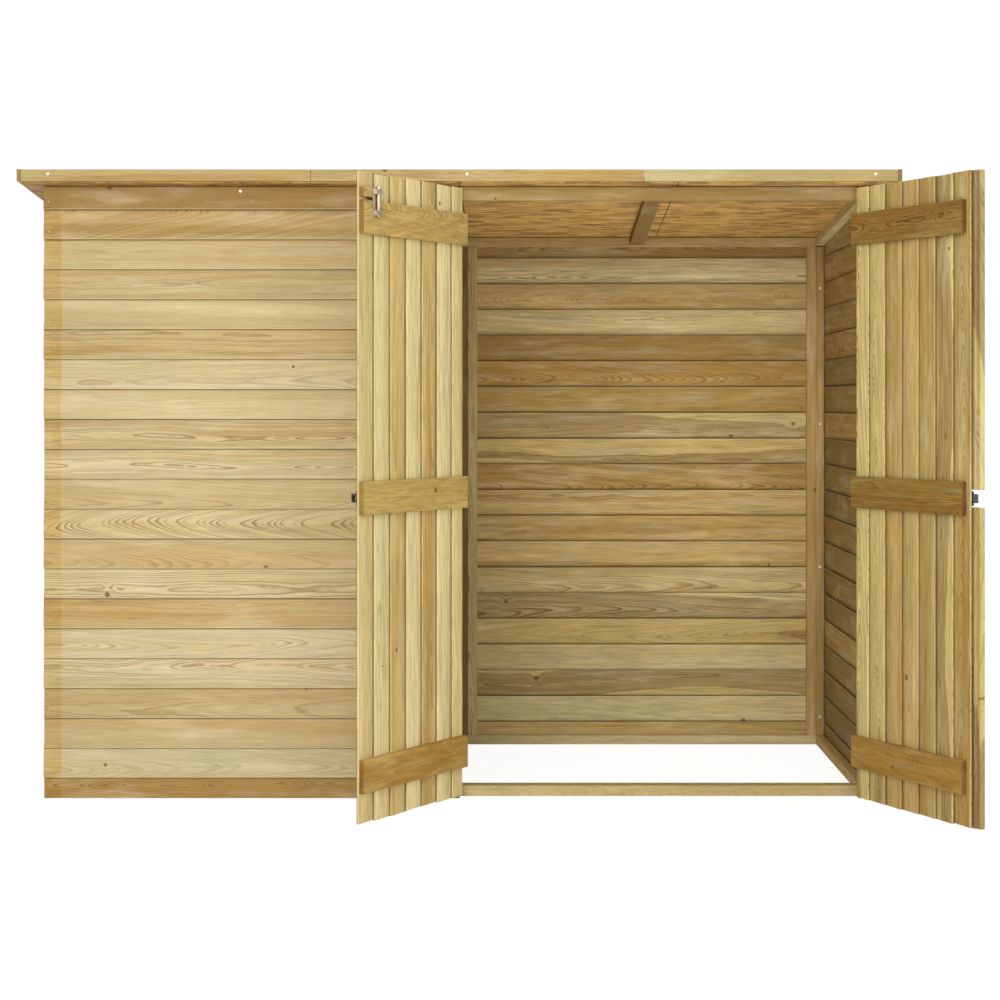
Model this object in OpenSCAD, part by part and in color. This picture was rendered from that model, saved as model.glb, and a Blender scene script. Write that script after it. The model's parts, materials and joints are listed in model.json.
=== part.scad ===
// Timber bike shed with a single-pitch roof and a pair of ledged doors.
// Frame: +X to the right, +Y to the back, +Z up. The origin is on the ground,
// at the middle of the shed's width, in the front plane of the wall framing.

/* [Walls] */
// Width over the wall boards
wall_w = 2200; // [1800:10:2800]
// Depth from the front plane of the framing to its back plane
wall_d = 1010; // [800:10:1500]
// Height of the roof sheets' underside above the front plane of the framing
front_h = 1617; // [1300:1:2000]
// Width of a frame batten's face
stud_w = 28; // [20:1:45]
// Depth of a frame batten, across the wall
frame_t = 24; // [18:1:40]
// Depth of the lapped wall boards over the framing
board_t = 12; // [8:0.5:18]
// Distance of the front panel's middle stud from the panel's outer end
mid_stud_x = 536; // [300:1:700]

/* [Doorway] */
// Width of the post beside the doorway
post_w = 48; // [35:1:80]
// Height of the header over the doorway
header_h = 36; // [28:1:70]
// Height of the sill
sill_h = 28; // [18:1:45]
// Depth of the sill
sill_d = 50; // [30:1:80]

/* [Roof] */
// Pitch of the roof, falling to the back
roof_pitch = 3.76; // [2:0.01:8]
// Thickness of the roof sheets
sheet_t = 11; // [8:0.5:18]
// Gap between two roof sheets
sheet_gap = 1; // [0.5:0.5:4]
// Thickness of the felt on the sheets
felt_t = 2; // [1:0.5:4]
// How far the roof reaches in front of the framing
roof_front = 63; // [40:1:120]
// How far the roof reaches past the walls at each side
roof_side = 60; // [40:1:120]
// How far the roof reaches behind the framing
roof_back = 27; // [24:1:120]
// Thickness of the fascia battens
trim_t = 12; // [10:1:20]
// Height of the fascia battens
trim_h = 31; // [24:1:60]
// How far the roof sheets show below the fascia battens
trim_lift = 4; // [2:1:8]
// Share of the front fascia's length that its left piece takes
fascia_cut_1 = 0.33; // [0.25:0.01:0.4]
// Share of the front fascia's length at which its middle piece ends
fascia_cut_2 = 0.71; // [0.6:0.01:0.75]
// Width of a rafter
rafter_w = 44; // [30:1:70]
// Height of a rafter, which lies flat under the sheets
rafter_h = 24; // [18:1:50]
// Distance of the right rafter from the middle of the shed
rafter_right_x = 516; // [300:1:700]
// Distance of the left rafter from the middle of the shed
rafter_left_x = 550; // [300:1:700]

/* [Doors] */
// Gap between the two door leaves, and between them and the framing
leaf_gap = 5; // [5:0.5:10]
// How much wider the right leaf is than the left one
leaf_extra = 5; // [0:1:20]
// Depth of a leaf's lapped boards
leaf_t = 12; // [8:0.5:18]
// Clearance between a leaf's top and the roof sheets
leaf_top_gap = 6; // [5:0.5:15]
// Clearance between the left leaf and the ground
left_bottom_gap = 11; // [6:0.5:20]
// Clearance between the right leaf and the ground
right_bottom_gap = 6; // [5:0.5:20]
// Height of a ledge
ledge_h = 83; // [50:1:120]
// Thickness of a ledge
ledge_t = 14; // [10:1:22]
// Height of the middle of the bottom ledges
ledge_low = 129; // [90:1:200]
// Distance of the middle of the top ledges below the leaves' top
ledge_drop = 112; // [105:1:200]
// How far the left leaf's ledges stop short of its free edge
left_ledge_short = 5; // [0:1:20]
// How far the right leaf's ledges stop short of its free edge
right_ledge_short = 18; // [0:1:40]
// Width of the cover strip
strip_w = 40; // [30:1:60]
// Thickness of the cover strip
strip_t = 20; // [14:1:30]
// How far the cover strip reaches past the right leaf's free edge
strip_lap = 15; // [10:1:20]
// Height of the gap in the cover strip for the lock bolt
strip_gap = 44; // [40:1:60]
// How far the left door stands open
left_open = 118.6; // [0:0.1:175]
// How far the right door stands open
right_open = 114.2; // [0:0.1:175]

/* [Hinges] */
// Radius of a hinge knuckle
knuckle_r = 5; // [4:0.5:7]
// Radius of a hinge pin
pin_r = 2.5; // [2:0.1:3]
// Length of a whole hinge knuckle
knuckle_l = 60; // [45:1:80]
// Length of a door hinge's strap
strap_l = 250; // [150:5:350]
// Width of the strap where it meets the knuckle
strap_w = 28; // [20:1:35]
// Width of the strap at its tip
strap_tip_w = 14; // [10:1:20]
// Thickness of the hinge plates
plate_t = 2; // [1.5:0.5:3]
// Width of the hinge plate on the post
flap_w = 30; // [20:1:40]

/* [Bolts] */
// Height of the lock bolt above the ground
lock_z = 810; // [600:1:1000]
// Radius of the lock bolt's rod
lock_r = 5; // [4:0.5:7]
// Length of the lock bolt's plate
lock_l = 120; // [90:1:160]
// Height of the lock bolt's plate
lock_h = 36; // [28:1:38]
// Travel of the lock bolt
lock_travel = 40; // [30:1:50]
// Radius of the top bolt's rod
top_r = 4.5; // [3:0.5:6]
// Height of the top bolt's plate
top_plate_h = 73; // [60:1:90]
// Width of the top bolt's plate
top_plate_w = 34; // [28:1:45]
// Distance of the top bolt's middle from the left leaf's free edge
top_inset = 61; // [45:1:120]
// Travel of the top bolt
top_travel = 22; // [15:1:24]

/* [Hidden] */
$fn = 48;

seat = 0.2;                      // play where a sloping face rests on another piece
slope = tan(roof_pitch);
half_w = wall_w / 2;
side_in = half_w - board_t - frame_t;      // inner face of a side wall
rear_in = wall_d - frame_t;                // inner face of the back wall
wall_top = under(frame_t) - seat;          // top of the front wall
wood = "burlywood";
dark_wood = "peru";
steel = "lightgray";

// Doors, closed: outer faces of boards, the boards' backs and the ledges' backs
door_back = -leaf_gap;
door_out = door_back - leaf_t;
ledge_back = door_back + ledge_t;
pivot_y = door_out - plate_t;
right_pivot = half_w - post_w;
hinge_gap = knuckle_r;                     // from a pivot to its leaf
leaf_space = right_pivot - 2 * hinge_gap - leaf_gap;
left_w = (leaf_space - leaf_extra) / 2;
right_w = (leaf_space + leaf_extra) / 2;
left_free = hinge_gap + left_w;
right_free = left_free + leaf_gap;
leaf_top = under(door_back) - leaf_top_gap;
ledge_mids = [ledge_low, lock_z, leaf_top - ledge_drop];

// Hinges
play = 0.06;                     // round a hinge pin
knuckle_gap = 1;                 // between neighbouring knuckles
middle_l = knuckle_l / 2;        // the strap's own knuckle

// Lock bolt, on the outer faces of the closed doors
rod_play = 0.5;
lock_y = door_out - plate_t - lock_r - 1;
guide_l = 14;
guide_h = 2 * lock_r + 12;
lock_x0 = right_free + 6;
keeper_l = 24;
keeper_x1 = lock_x0 - lock_travel + guide_l + 3;

// Top bolt, on the inner face of the closed left door
top_x = left_free - top_inset;
top_y = ledge_back + plate_t + top_r + 0.7;
top_z1 = wall_top - header_h - 6;        // top of the plate
top_tip = wall_top - header_h - 2;       // top of the drawn-back rod
top_z0 = top_z1 - top_plate_h;
bolt_hole_r = top_r + 1.5;
bolt_hole_depth = top_travel + 3;
block_gap = 8;                           // between the block and the ledge
ledge_top = ledge_mids[2] + ledge_h / 2;

// Height of the roof sheets' underside at depth y
function under(y) = front_h - slope * y;

// A piece with a sloping top and bottom, drawn from its profile along Y
module sloped(x0, x1, y0, y1, low, high) {
    rise_0 = under(y0);
    rise_1 = under(y1);
    translate([x0, 0, 0])
        rotate([90, 0, 90])
            linear_extrude(x1 - x0)
                polygon([
                    [y0, rise_0 + low], [y1, rise_1 + low],
                    [y1, rise_1 + high], [y0, rise_0 + high]
                ]);
}

// A piece from the height z0 up to the sloping roof
module under_roof(x0, x1, y0, y1, z0) {
    translate([x0, 0, 0])
        rotate([90, 0, 90])
            linear_extrude(x1 - x0)
                polygon([
                    [y0, z0], [y1, z0],
                    [y1, under(y1) - seat], [y0, under(y0) - seat]
                ]);
}

module block(low, high) {
    translate(low) cube(high - low);
}

// Turns what is drawn on a closed door about its pivot
module swing(x, angle) {
    translate([x, pivot_y, 0])
        rotate([0, 0, angle])
            translate([-x, -pivot_y, 0])
                children();
}

module on_left_door() {
    swing(0, -left_open) children();
}

module on_right_door() {
    swing(right_pivot, right_open) children();
}

// Front panel, left of the doorway
module front_panel_boards() {
    color(wood) block([-half_w, -board_t, 0], [0, 0, wall_top]);
}

module front_panel_studs() {
    color(wood)
        for (x = [-half_w, -half_w + mid_stud_x, -stud_w])
            block([x, 0, stud_w], [x + stud_w, frame_t, wall_top - stud_w]);
}

module front_panel_rails() {
    color(wood)
        for (z = [0, wall_top - stud_w])
            block([-half_w, 0, z], [0, frame_t, z + stud_w]);
}

// Back wall: two panels that meet in the middle
module back_boards(x0, x1) {
    color(dark_wood)
        block([x0, wall_d, 0], [x1, wall_d + board_t, under(wall_d + board_t) - seat]);
}

module back_studs(x0, x1) {
    color(dark_wood)
        for (x = [x0, x1 - stud_w])
            block([x, rear_in, stud_w], [x + stud_w, wall_d, under(wall_d) - seat - stud_w]);
}

module back_rails(x0, x1) {
    color(dark_wood)
        for (z = [0, under(wall_d) - seat - stud_w])
            block([x0, rear_in, z], [x1, wall_d, z + stud_w]);
}

// Side wall, drawn at the right and mirrored to the left
module side_boards() {
    color(wood)
        under_roof(half_w - board_t, half_w, frame_t, wall_d + board_t, 0);
}

module side_studs() {
    color(wood)
        for (y = [frame_t, wall_d - stud_w])
            block([side_in, y, stud_w],
                  [side_in + frame_t, y + stud_w, under(y + stud_w) - seat - stud_w]);
}

module side_rails() {
    color(wood) {
        block([side_in, frame_t, 0], [side_in + frame_t, wall_d, stud_w]);
        sloped(side_in, side_in + frame_t, frame_t, wall_d, -seat - stud_w, -seat);
    }
}

// Doorway
module door_post() {
    color(wood)
        block([right_pivot, -board_t, 0], [half_w, frame_t, wall_top]);
}

module door_header() {
    color(wood)
        difference() {
            block([0, 0, wall_top - header_h], [right_pivot, frame_t, wall_top]);
            translate([top_x, top_y, wall_top - header_h - 1])
                cylinder(r = bolt_hole_r, h = bolt_hole_depth + 1);
        }
}

module door_sill() {
    color(wood)
        block([-stud_w, frame_t, 0], [side_in, frame_t + sill_d, sill_h]);
}

// Roof
module rafter(x) {
    color(wood)
        sloped(x - rafter_w / 2, x + rafter_w / 2, frame_t, rear_in, -seat - rafter_h, -seat);
}

sheet_x = half_w + roof_side - trim_t;
sheet_y0 = trim_t - roof_front;
sheet_y1 = wall_d + roof_back - trim_t;
sheet_w = (2 * sheet_x - 3 * sheet_gap) / 4;

module roof_sheet(number) {
    x = -sheet_x + (number - 1) * (sheet_w + sheet_gap);
    color("tan") sloped(x, x + sheet_w, sheet_y0, sheet_y1, 0, sheet_t);
}

module roof_felt() {
    color("darkslategray")
        sloped(-sheet_x, sheet_x, sheet_y0, sheet_y1, sheet_t, sheet_t + felt_t);
}

module front_fascia() {
    z = under(sheet_y0) + trim_lift;
    length = 2 * sheet_x;
    cuts = [0, fascia_cut_1, fascia_cut_2, 1];
    color(wood)
        for (i = [0 : 2])
            block([-sheet_x + cuts[i] * length + (i > 0 ? sheet_gap : 0), -roof_front, z],
                  [-sheet_x + cuts[i + 1] * length, sheet_y0, z + trim_h]);
}

module back_fascia() {
    z = under(sheet_y1) + trim_lift;
    color(wood)
        block([-sheet_x, sheet_y1, z], [sheet_x, sheet_y1 + trim_t, z + trim_h]);
}

module roof_batten() {
    color(wood)
        sloped(sheet_x, sheet_x + trim_t, -roof_front, sheet_y1 + trim_t,
               trim_lift, trim_lift + trim_h);
}

// Doors, drawn closed and turned to their rest pose
module left_door_boards() {
    color(wood)
        on_left_door()
            block([hinge_gap, door_out, left_bottom_gap], [left_free, door_back, leaf_top]);
}

module left_door_ledges() {
    color(dark_wood)
        on_left_door()
            for (z = ledge_mids)
                block([hinge_gap, door_back, z - ledge_h / 2],
                      [left_free - left_ledge_short, ledge_back, z + ledge_h / 2]);
}

module right_door_boards() {
    color(wood)
        on_right_door()
            block([right_free, door_out, right_bottom_gap],
                  [right_free + right_w, door_back, leaf_top]);
}

module right_door_ledges() {
    color(dark_wood)
        on_right_door()
            for (z = ledge_mids)
                block([right_free + right_ledge_short, door_back, z - ledge_h / 2],
                      [right_free + right_w, ledge_back, z + ledge_h / 2]);
}

// The strip is rebated where it laps over the left door
module right_cover_strip() {
    x0 = right_free - strip_lap;
    parts = [
        [right_bottom_gap, lock_z - strip_gap / 2],
        [lock_z + strip_gap / 2, leaf_top]
    ];
    color(wood)
        on_right_door()
            for (part = parts)
                translate([0, 0, part[0]])
                    linear_extrude(part[1] - part[0])
                        polygon([
                            [x0, door_out - strip_t], [x0 + strip_w, door_out - strip_t],
                            [x0 + strip_w, door_out], [right_free, door_out],
                            [right_free, door_out - leaf_gap], [x0, door_out - leaf_gap]
                        ]);
}

// Hinge flaps, each with its two knuckles, their webs and the pin, at the pivot x = 0
module hinge_flap(z) {
    outer_l = (knuckle_l - middle_l) / 2 - knuckle_gap;
    for (side = [-1, 1]) {
        mid = z + side * (middle_l / 2 + knuckle_gap + outer_l / 2);
        translate([0, pivot_y, mid]) cylinder(r = knuckle_r, h = outer_l, center = true);
        block([-knuckle_r, pivot_y, mid - outer_l / 2], [0, -board_t, mid + outer_l / 2]);
    }
    translate([0, pivot_y, z]) cylinder(r = pin_r, h = knuckle_l - 1, center = true);
    difference() {
        block([-flap_w, -board_t - plate_t, z - knuckle_l / 2],
              [0, -board_t, z + knuckle_l / 2]);
        block([-knuckle_r - 2, -board_t - plate_t - 1, z - middle_l / 2 - knuckle_gap],
              [1, -board_t + 1, z + middle_l / 2 + knuckle_gap]);
    }
}

module left_hinge_flaps() {
    color(steel) for (z = ledge_mids) hinge_flap(z);
}

module right_hinge_flaps() {
    color(steel)
        for (z = ledge_mids)
            translate([right_pivot, 0, 0]) mirror([1, 0, 0]) hinge_flap(z);
}

// Hinge strap on the outer face of a closed door, at the pivot x = 0
module hinge_strap(z) {
    difference() {
        union() {
            translate([0, pivot_y, z]) cylinder(r = knuckle_r, h = middle_l, center = true);
            translate([0, pivot_y, z])
                rotate([-90, 0, 0])
                    linear_extrude(plate_t)
                        polygon([
                            [0, -strap_w / 2], [strap_l, -strap_tip_w / 2],
                            [strap_l, strap_tip_w / 2], [0, strap_w / 2]
                        ]);
        }
        translate([0, pivot_y, z]) cylinder(r = pin_r + play, h = knuckle_l, center = true);
    }
}

module left_hinge_straps() {
    color(steel) on_left_door() for (z = ledge_mids) hinge_strap(z);
}

module right_hinge_straps() {
    color(steel)
        on_right_door()
            for (z = ledge_mids)
                translate([right_pivot, 0, 0]) mirror([1, 0, 0]) hinge_strap(z);
}

// Lock bolt: a guide block round the rod, at x along the closed doors
module lock_guide(x, length) {
    difference() {
        block([x, lock_y - lock_r - 2, lock_z - guide_h / 2],
              [x + length, door_out - plate_t, lock_z + guide_h / 2]);
        translate([x - 1, lock_y, lock_z])
            rotate([0, 90, 0])
                cylinder(r = lock_r + rod_play, h = length + 2);
    }
}

module lock_bolt_plate() {
    color("dimgray")
        on_right_door() {
            block([lock_x0, door_out - plate_t, lock_z - lock_h / 2],
                  [lock_x0 + lock_l, door_out, lock_z + lock_h / 2]);
            lock_guide(lock_x0, guide_l);
            lock_guide(lock_x0 + lock_l - guide_l, guide_l);
        }
}

module lock_bolt_rod() {
    color("dimgray")
        on_right_door() {
            translate([lock_x0, lock_y, lock_z])
                rotate([0, 90, 0])
                    cylinder(r = lock_r, h = lock_l);
            translate([lock_x0 + lock_l - guide_l - lock_r - 4, lock_y, lock_z])
                rotate([90, 0, 0])
                    cylinder(r = lock_r - 1, h = lock_r + 16);
        }
}

module lock_bolt_keeper() {
    color("dimgray")
        on_left_door() {
            block([keeper_x1 - keeper_l, door_out - plate_t, lock_z - lock_h / 2],
                  [keeper_x1, door_out, lock_z + lock_h / 2]);
            lock_guide(keeper_x1 - guide_l, guide_l);
        }
}

// Top bolt: a guide block round the rod, at the height z
module top_guide(z, length) {
    difference() {
        block([top_x - top_r - 4, ledge_back + plate_t, z],
              [top_x + top_r + 4, top_y + top_r + 2, z + length]);
        translate([top_x, top_y, z - 1])
            cylinder(r = top_r + rod_play, h = length + 2);
    }
}

module top_bolt_block() {
    color(dark_wood)
        on_left_door()
            block([top_x - 24, door_back, ledge_top + block_gap],
                  [left_free - left_ledge_short, ledge_back, top_z1]);
}

module top_bolt_plate() {
    color(steel)
        on_left_door() {
            block([top_x - top_plate_w / 2, ledge_back, top_z0],
                  [top_x + top_plate_w / 2, ledge_back + plate_t, top_z1]);
            top_guide(top_z0 + 4, 12);
            top_guide(top_z1 - 16, 12);
        }
}

module top_bolt_rod() {
    knob_z = top_z0 + 16 + top_r + 1;
    color(steel)
        on_left_door() {
            translate([top_x, top_y, top_z0 + 2])
                cylinder(r = top_r, h = top_tip - top_z0 - 2);
            translate([top_x, top_y, knob_z])
                rotate([-90, 0, 0])
                    cylinder(r = top_r - 1, h = top_r + 9);
        }
}

front_panel_boards();
front_panel_studs();
front_panel_rails();
back_boards(-side_in, 0);  // back_left_boards
back_studs(-side_in, 0);  // back_left_studs
back_rails(-side_in, 0);  // back_left_rails
back_boards(0, side_in);  // back_right_boards
back_studs(0, side_in);  // back_right_studs
back_rails(0, side_in);  // back_right_rails
mirror([1, 0, 0]) side_boards();  // left_side_boards
mirror([1, 0, 0]) side_studs();  // left_side_studs
mirror([1, 0, 0]) side_rails();  // left_side_rails
side_boards();  // right_side_boards
side_studs();  // right_side_studs
side_rails();  // right_side_rails
door_post();
door_header();
door_sill();
rafter(-rafter_left_x);  // rafter_left
rafter(rafter_right_x);  // rafter_right
roof_sheet(1);  // roof_sheet_1
roof_sheet(2);  // roof_sheet_2
roof_sheet(3);  // roof_sheet_3
roof_sheet(4);  // roof_sheet_4
roof_felt();
front_fascia();
back_fascia();
mirror([1, 0, 0]) roof_batten();  // left_roof_batten
roof_batten();  // right_roof_batten
left_door_boards();
left_door_ledges();
right_door_boards();
right_door_ledges();
right_cover_strip();
left_hinge_flaps();
right_hinge_flaps();
left_hinge_straps();
right_hinge_straps();
lock_bolt_plate();
lock_bolt_rod();
lock_bolt_keeper();
top_bolt_block();
top_bolt_plate();
top_bolt_rod();
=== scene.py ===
"""Looks of a timber bike shed: its boards, battens, roof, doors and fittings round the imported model."""

import json
import math
import random

import bmesh
import bpy
from mathutils import Matrix, Vector


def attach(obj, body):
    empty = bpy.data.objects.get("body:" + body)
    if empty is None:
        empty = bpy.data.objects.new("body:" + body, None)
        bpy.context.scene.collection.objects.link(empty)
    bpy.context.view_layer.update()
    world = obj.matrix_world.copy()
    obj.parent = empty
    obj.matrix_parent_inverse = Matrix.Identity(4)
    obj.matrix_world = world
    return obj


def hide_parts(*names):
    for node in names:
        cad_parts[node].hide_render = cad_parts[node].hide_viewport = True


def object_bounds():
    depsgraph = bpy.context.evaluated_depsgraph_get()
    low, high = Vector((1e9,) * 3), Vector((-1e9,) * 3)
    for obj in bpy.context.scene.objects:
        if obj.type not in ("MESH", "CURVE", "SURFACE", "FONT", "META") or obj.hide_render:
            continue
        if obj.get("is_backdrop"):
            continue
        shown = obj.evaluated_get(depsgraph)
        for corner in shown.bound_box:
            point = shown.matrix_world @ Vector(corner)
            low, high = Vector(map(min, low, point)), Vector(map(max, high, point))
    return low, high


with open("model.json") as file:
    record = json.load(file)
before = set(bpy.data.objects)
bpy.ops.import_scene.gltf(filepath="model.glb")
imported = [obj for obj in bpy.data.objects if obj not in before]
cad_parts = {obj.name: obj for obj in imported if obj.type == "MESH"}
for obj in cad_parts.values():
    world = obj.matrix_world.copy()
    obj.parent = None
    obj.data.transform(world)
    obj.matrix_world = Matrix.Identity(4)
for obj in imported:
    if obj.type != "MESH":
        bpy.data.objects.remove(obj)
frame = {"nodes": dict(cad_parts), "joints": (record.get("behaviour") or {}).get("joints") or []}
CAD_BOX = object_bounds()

bl_info = {
    "name": "Timber Bike Shed",
    "version": (1, 0, 0),
    "blender": (4, 5, 0),
    "location": "View3D > Sidebar > Shed",
    "description": "Builds the boards, battens, roof, doors and fittings of a timber bike shed",
    "category": "Add Mesh",
}

AS_VECTOR = 1  # Outputs of an Attribute node
AS_NUMBER = 2
FRONT = (0, -1, 0)  # Towards the doors' side of the shed
BACK = (0, 1, 0)
NEAR = 1e-4  # How close two heights or depths are to count as the same, in metres
END_FACING = 0.7  # A face is a board's end when its normal lies this much along the board
SHADE_PLAY = 0.08  # How far a board's shade may lie from its letter's
# Shades of board, from palest to darkest, and where each lies on a timber's colour ramp.
# A capital letter stands for a board with heartwood in it.
# r and d lie past the ramp's end and dim the darkest colour; on some parts they are painted shade
SHADES = {"p": 0.0, "s": 0.25, "t": 0.5, "h": 0.75, "b": 1.0, "r": 1.3, "d": 1.6}


def srgb(red, green, blue):
    """The linear colour of three values from 0 to 255."""
    def linear(value):
        part = value / 255
        return part / 12.92 if part <= 0.04045 else ((part + 0.055) / 1.055) ** 2.4
    return (linear(red), linear(green), linear(blue))


# Properties


def size_prop(name, description, default):
    return bpy.props.FloatProperty(
        name=name, description=description, default=default, min=0, unit="LENGTH", subtype="DISTANCE"
    )


def colour_prop(name, description, default):
    return bpy.props.FloatVectorProperty(
        name=name, description=description, default=default, min=0, max=1, size=3, subtype="COLOR"
    )


class ShedSizes(bpy.types.PropertyGroup):
    """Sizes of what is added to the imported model."""

    wall_cover: size_prop("Wall board cover", "Height of a wall board that shows", 0.079)
    wall_first: size_prop("First wall board", "Height of the lowest wall board that shows", 0.054)
    door_cover: size_prop("Door board cover", "Width of a door board that shows", 0.0765)
    lap: size_prop("Lap", "How far one board laps over the next", 0.012)
    board_edge: size_prop("Board edge", "Radius of a lapped board's eased edges", 0.0008)
    batten_edge: size_prop("Batten edge", "Radius of a batten's eased edges", 0.0015)
    end_play: size_prop("End play", "How far the ends of lapped boards differ", 0.003)
    screw_r: size_prop("Screw head", "Radius of a screw's head", 0.004)
    small_screw_r: size_prop("Small screw head", "Radius of a bolt plate's screws", 0.0026)
    nail_r: size_prop("Nail head", "Radius of a board nail's head", 0.0018)
    clout_r: size_prop("Clout head", "Radius of a felt nail's head", 0.005)
    felt_lap: size_prop("Felt lap", "How far one strip of felt laps over the next", 0.08)


class ShedColours(bpy.types.PropertyGroup):
    """Colours of the shed."""

    pale: colour_prop("Pale board", "Sapwood, nearly cream", srgb(222, 205, 160))
    straw: colour_prop("Straw board", "Yellow sapwood", srgb(215, 194, 139))
    tan: colour_prop("Tan board", "Dull sapwood with a green cast", srgb(202, 180, 126))
    honey: colour_prop("Honey board", "Orange sapwood", srgb(205, 173, 112))
    brown: colour_prop("Brown board", "Brown sapwood", srgb(178, 141, 74))
    end_grain: colour_prop("End grain", "Tint of a batten's ends", srgb(196, 176, 140))
    # Painted light: each face of a lapped board has a tint of its own, the outer a little dimmed, the
    # inner lighter and yellower
    outer: colour_prop("Outer faces", "Tint of the lapped boards' outer faces", srgb(240, 240, 243))
    inner: colour_prop("Inner faces", "Tint of the lapped boards' inner faces", srgb(247, 249, 240))
    late: colour_prop("Latewood", "Tint of the dark rings", srgb(190, 168, 134))
    knot: colour_prop("Knot", "Middle of a knot", srgb(120, 78, 40))
    heart: colour_prop("Heartwood", "Tint of the heartwood", srgb(200, 187, 181))
    yellow: colour_prop("Yellow sapwood", "Sapwood beside the heartwood", srgb(224, 204, 136))
    # Painted sheen: pale patches laid on the boards for light caught by their fibres
    sheen: colour_prop("Sheen", "Pale patches where the saw lifted the fibres", srgb(232, 216, 176))
    silver: colour_prop("Silver streaks", "Dulled fibres of the sawn faces", srgb(184, 172, 148))
    # Painted shade: the dark colour laid in the corner at each lap, where shade falls
    lap_shade_colour: colour_prop("Lap line", "Dirt in the corner at a board's lap", srgb(84, 60, 26))
    end_stain: colour_prop("End stain", "Tint of the wall boards' ends", srgb(246, 229, 182))
    green: colour_prop("Treatment", "Green cast of the wood preservative", srgb(170, 166, 104))
    strand_light: colour_prop("Light strand", "Palest strands of the roof sheets", srgb(214, 176, 100))
    strand_dark: colour_prop("Dark strand", "Darkest strands of the roof sheets", srgb(136, 98, 44))
    felt: colour_prop("Felt", "Mineral felt on the roof", srgb(78, 84, 80))
    zinc: colour_prop("Zinc", "Plated steel", srgb(196, 186, 170))
    # Painted reflection: a near-white colour for the battens' screws, for the light their heads reflect
    bright: colour_prop("Bright zinc", "The battens' screws", srgb(250, 244, 226))
    black: colour_prop("Black steel", "Painted steel", srgb(38, 34, 30))
    floor: colour_prop("Floor", "Floor under the shed", (0.8, 0.8, 0.8))


# Node trees


def maths_method(operation, flipped=False):
    """A method of Field that adds a Math node."""
    def method(self, other):
        values = (other, self) if flipped else (self, other)
        return self.maker.maths(operation, *values)
    return method


class Field:
    """A socket of a node tree; the operators of Python add Math nodes."""

    def __init__(self, maker, socket):
        self.maker = maker
        self.socket = socket

    __add__ = maths_method("ADD")
    __radd__ = maths_method("ADD", flipped=True)
    __sub__ = maths_method("SUBTRACT")
    __rsub__ = maths_method("SUBTRACT", flipped=True)
    __mul__ = maths_method("MULTIPLY")
    __rmul__ = maths_method("MULTIPLY", flipped=True)
    __truediv__ = maths_method("DIVIDE")
    __pow__ = maths_method("POWER")


class NodeMaker:
    """Adds nodes to one tree. Every method gives back a Field."""

    def __init__(self, tree):
        self.tree = tree
        self.tree.nodes.clear()

    def add(self, kind, settings=None, values=None, out=0):
        """Adds a node of a type: its settings first, then its sockets' values or links."""
        node = self.tree.nodes.new(kind)
        node.location = (180 * (len(self.tree.nodes) - 1), 0)
        for name, value in (settings or {}).items():
            if name == "stops":
                self.set_stops(node.color_ramp, value)
            else:
                setattr(node, name, value)
        for key, value in (values or {}).items():
            self.feed(node.inputs[key], value)
        return Field(self, node.outputs[out]) if len(node.outputs) else None

    def other(self, field, out):
        """Another output of the node that a Field comes from."""
        return Field(self, field.socket.node.outputs[out])

    def feed(self, socket, value):
        if isinstance(value, Field):
            self.tree.links.new(value.socket, socket)
        elif socket.type == "RGBA":
            socket.default_value = (*value, 1)
        else:
            socket.default_value = value

    def set_stops(self, ramp, stops):
        ramp.elements.remove(ramp.elements[1])
        ramp.elements[0].position = stops[0][0]
        for number, (place, colour) in enumerate(stops):
            element = ramp.elements.new(place) if number else ramp.elements[0]
            element.color = (*colour, 1)

    def maths(self, operation, *values):
        return self.add("ShaderNodeMath", {"operation": operation}, dict(enumerate(values)))

    def vector(self, operation, *values):
        return self.add("ShaderNodeVectorMath", {"operation": operation}, dict(enumerate(values)))

    def xyz(self, x, y, z):
        return self.add("ShaderNodeCombineXYZ", None, {0: x, 1: y, 2: z})

    def split(self, vector):
        first = self.add("ShaderNodeSeparateXYZ", None, {0: vector})
        return first, self.other(first, 1), self.other(first, 2)

    def smooth(self, value, low, high):
        """0 below low and 1 above high, with a smooth step between them; low may be the larger one."""
        values = {"Value": value, "From Min": low, "From Max": high}
        return self.add("ShaderNodeMapRange", {"interpolation_type": "SMOOTHSTEP"}, values)

    def noise(self, vector, scale=1.0, detail=2.0, roughness=0.5):
        values = {"Vector": vector, "Scale": scale, "Detail": detail, "Roughness": roughness}
        return self.add("ShaderNodeTexNoise", {"noise_dimensions": "3D"}, values)

    def mix(self, factor, first, second, blend="MIX"):
        """A mix of two colours, by the node's colour sockets."""
        settings = {"data_type": "RGBA", "blend_type": blend, "clamp_factor": True}
        return self.add("ShaderNodeMix", settings, {0: factor, 6: first, 7: second}, out=2)

    def ramp(self, factor, stops):
        return self.add("ShaderNodeValToRGB", {"stops": stops}, {"Fac": factor})

    def attribute(self, name, out):
        return self.add("ShaderNodeAttribute", {"attribute_name": name}, out=out)

    def place(self):
        """Where a point lies in its object's frame."""
        return self.add("ShaderNodeTexCoord", out=3)

    def tinted(self, colour, tint):
        """A colour multiplied by another."""
        return self.mix(1.0, colour, tint, "MULTIPLY")

    def shaded(self, colour, light):
        """A colour multiplied by a number."""
        return self.tinted(colour, self.xyz(light, light, light))

    def bump(self, strength, distance, height):
        values = {"Strength": strength, "Distance": distance, "Height": height}
        return self.add("ShaderNodeBump", None, values)


def new_material(name, build):
    """A material whose tree is made by build(nodes), which gives the shader's sockets and values."""
    material = bpy.data.materials.new(name)
    material.use_nodes = True
    nodes = NodeMaker(material.node_tree)
    shader = nodes.add("ShaderNodeBsdfPrincipled", None, build(nodes))
    nodes.add("ShaderNodeOutputMaterial", None, {"Surface": shader})
    return material


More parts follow.
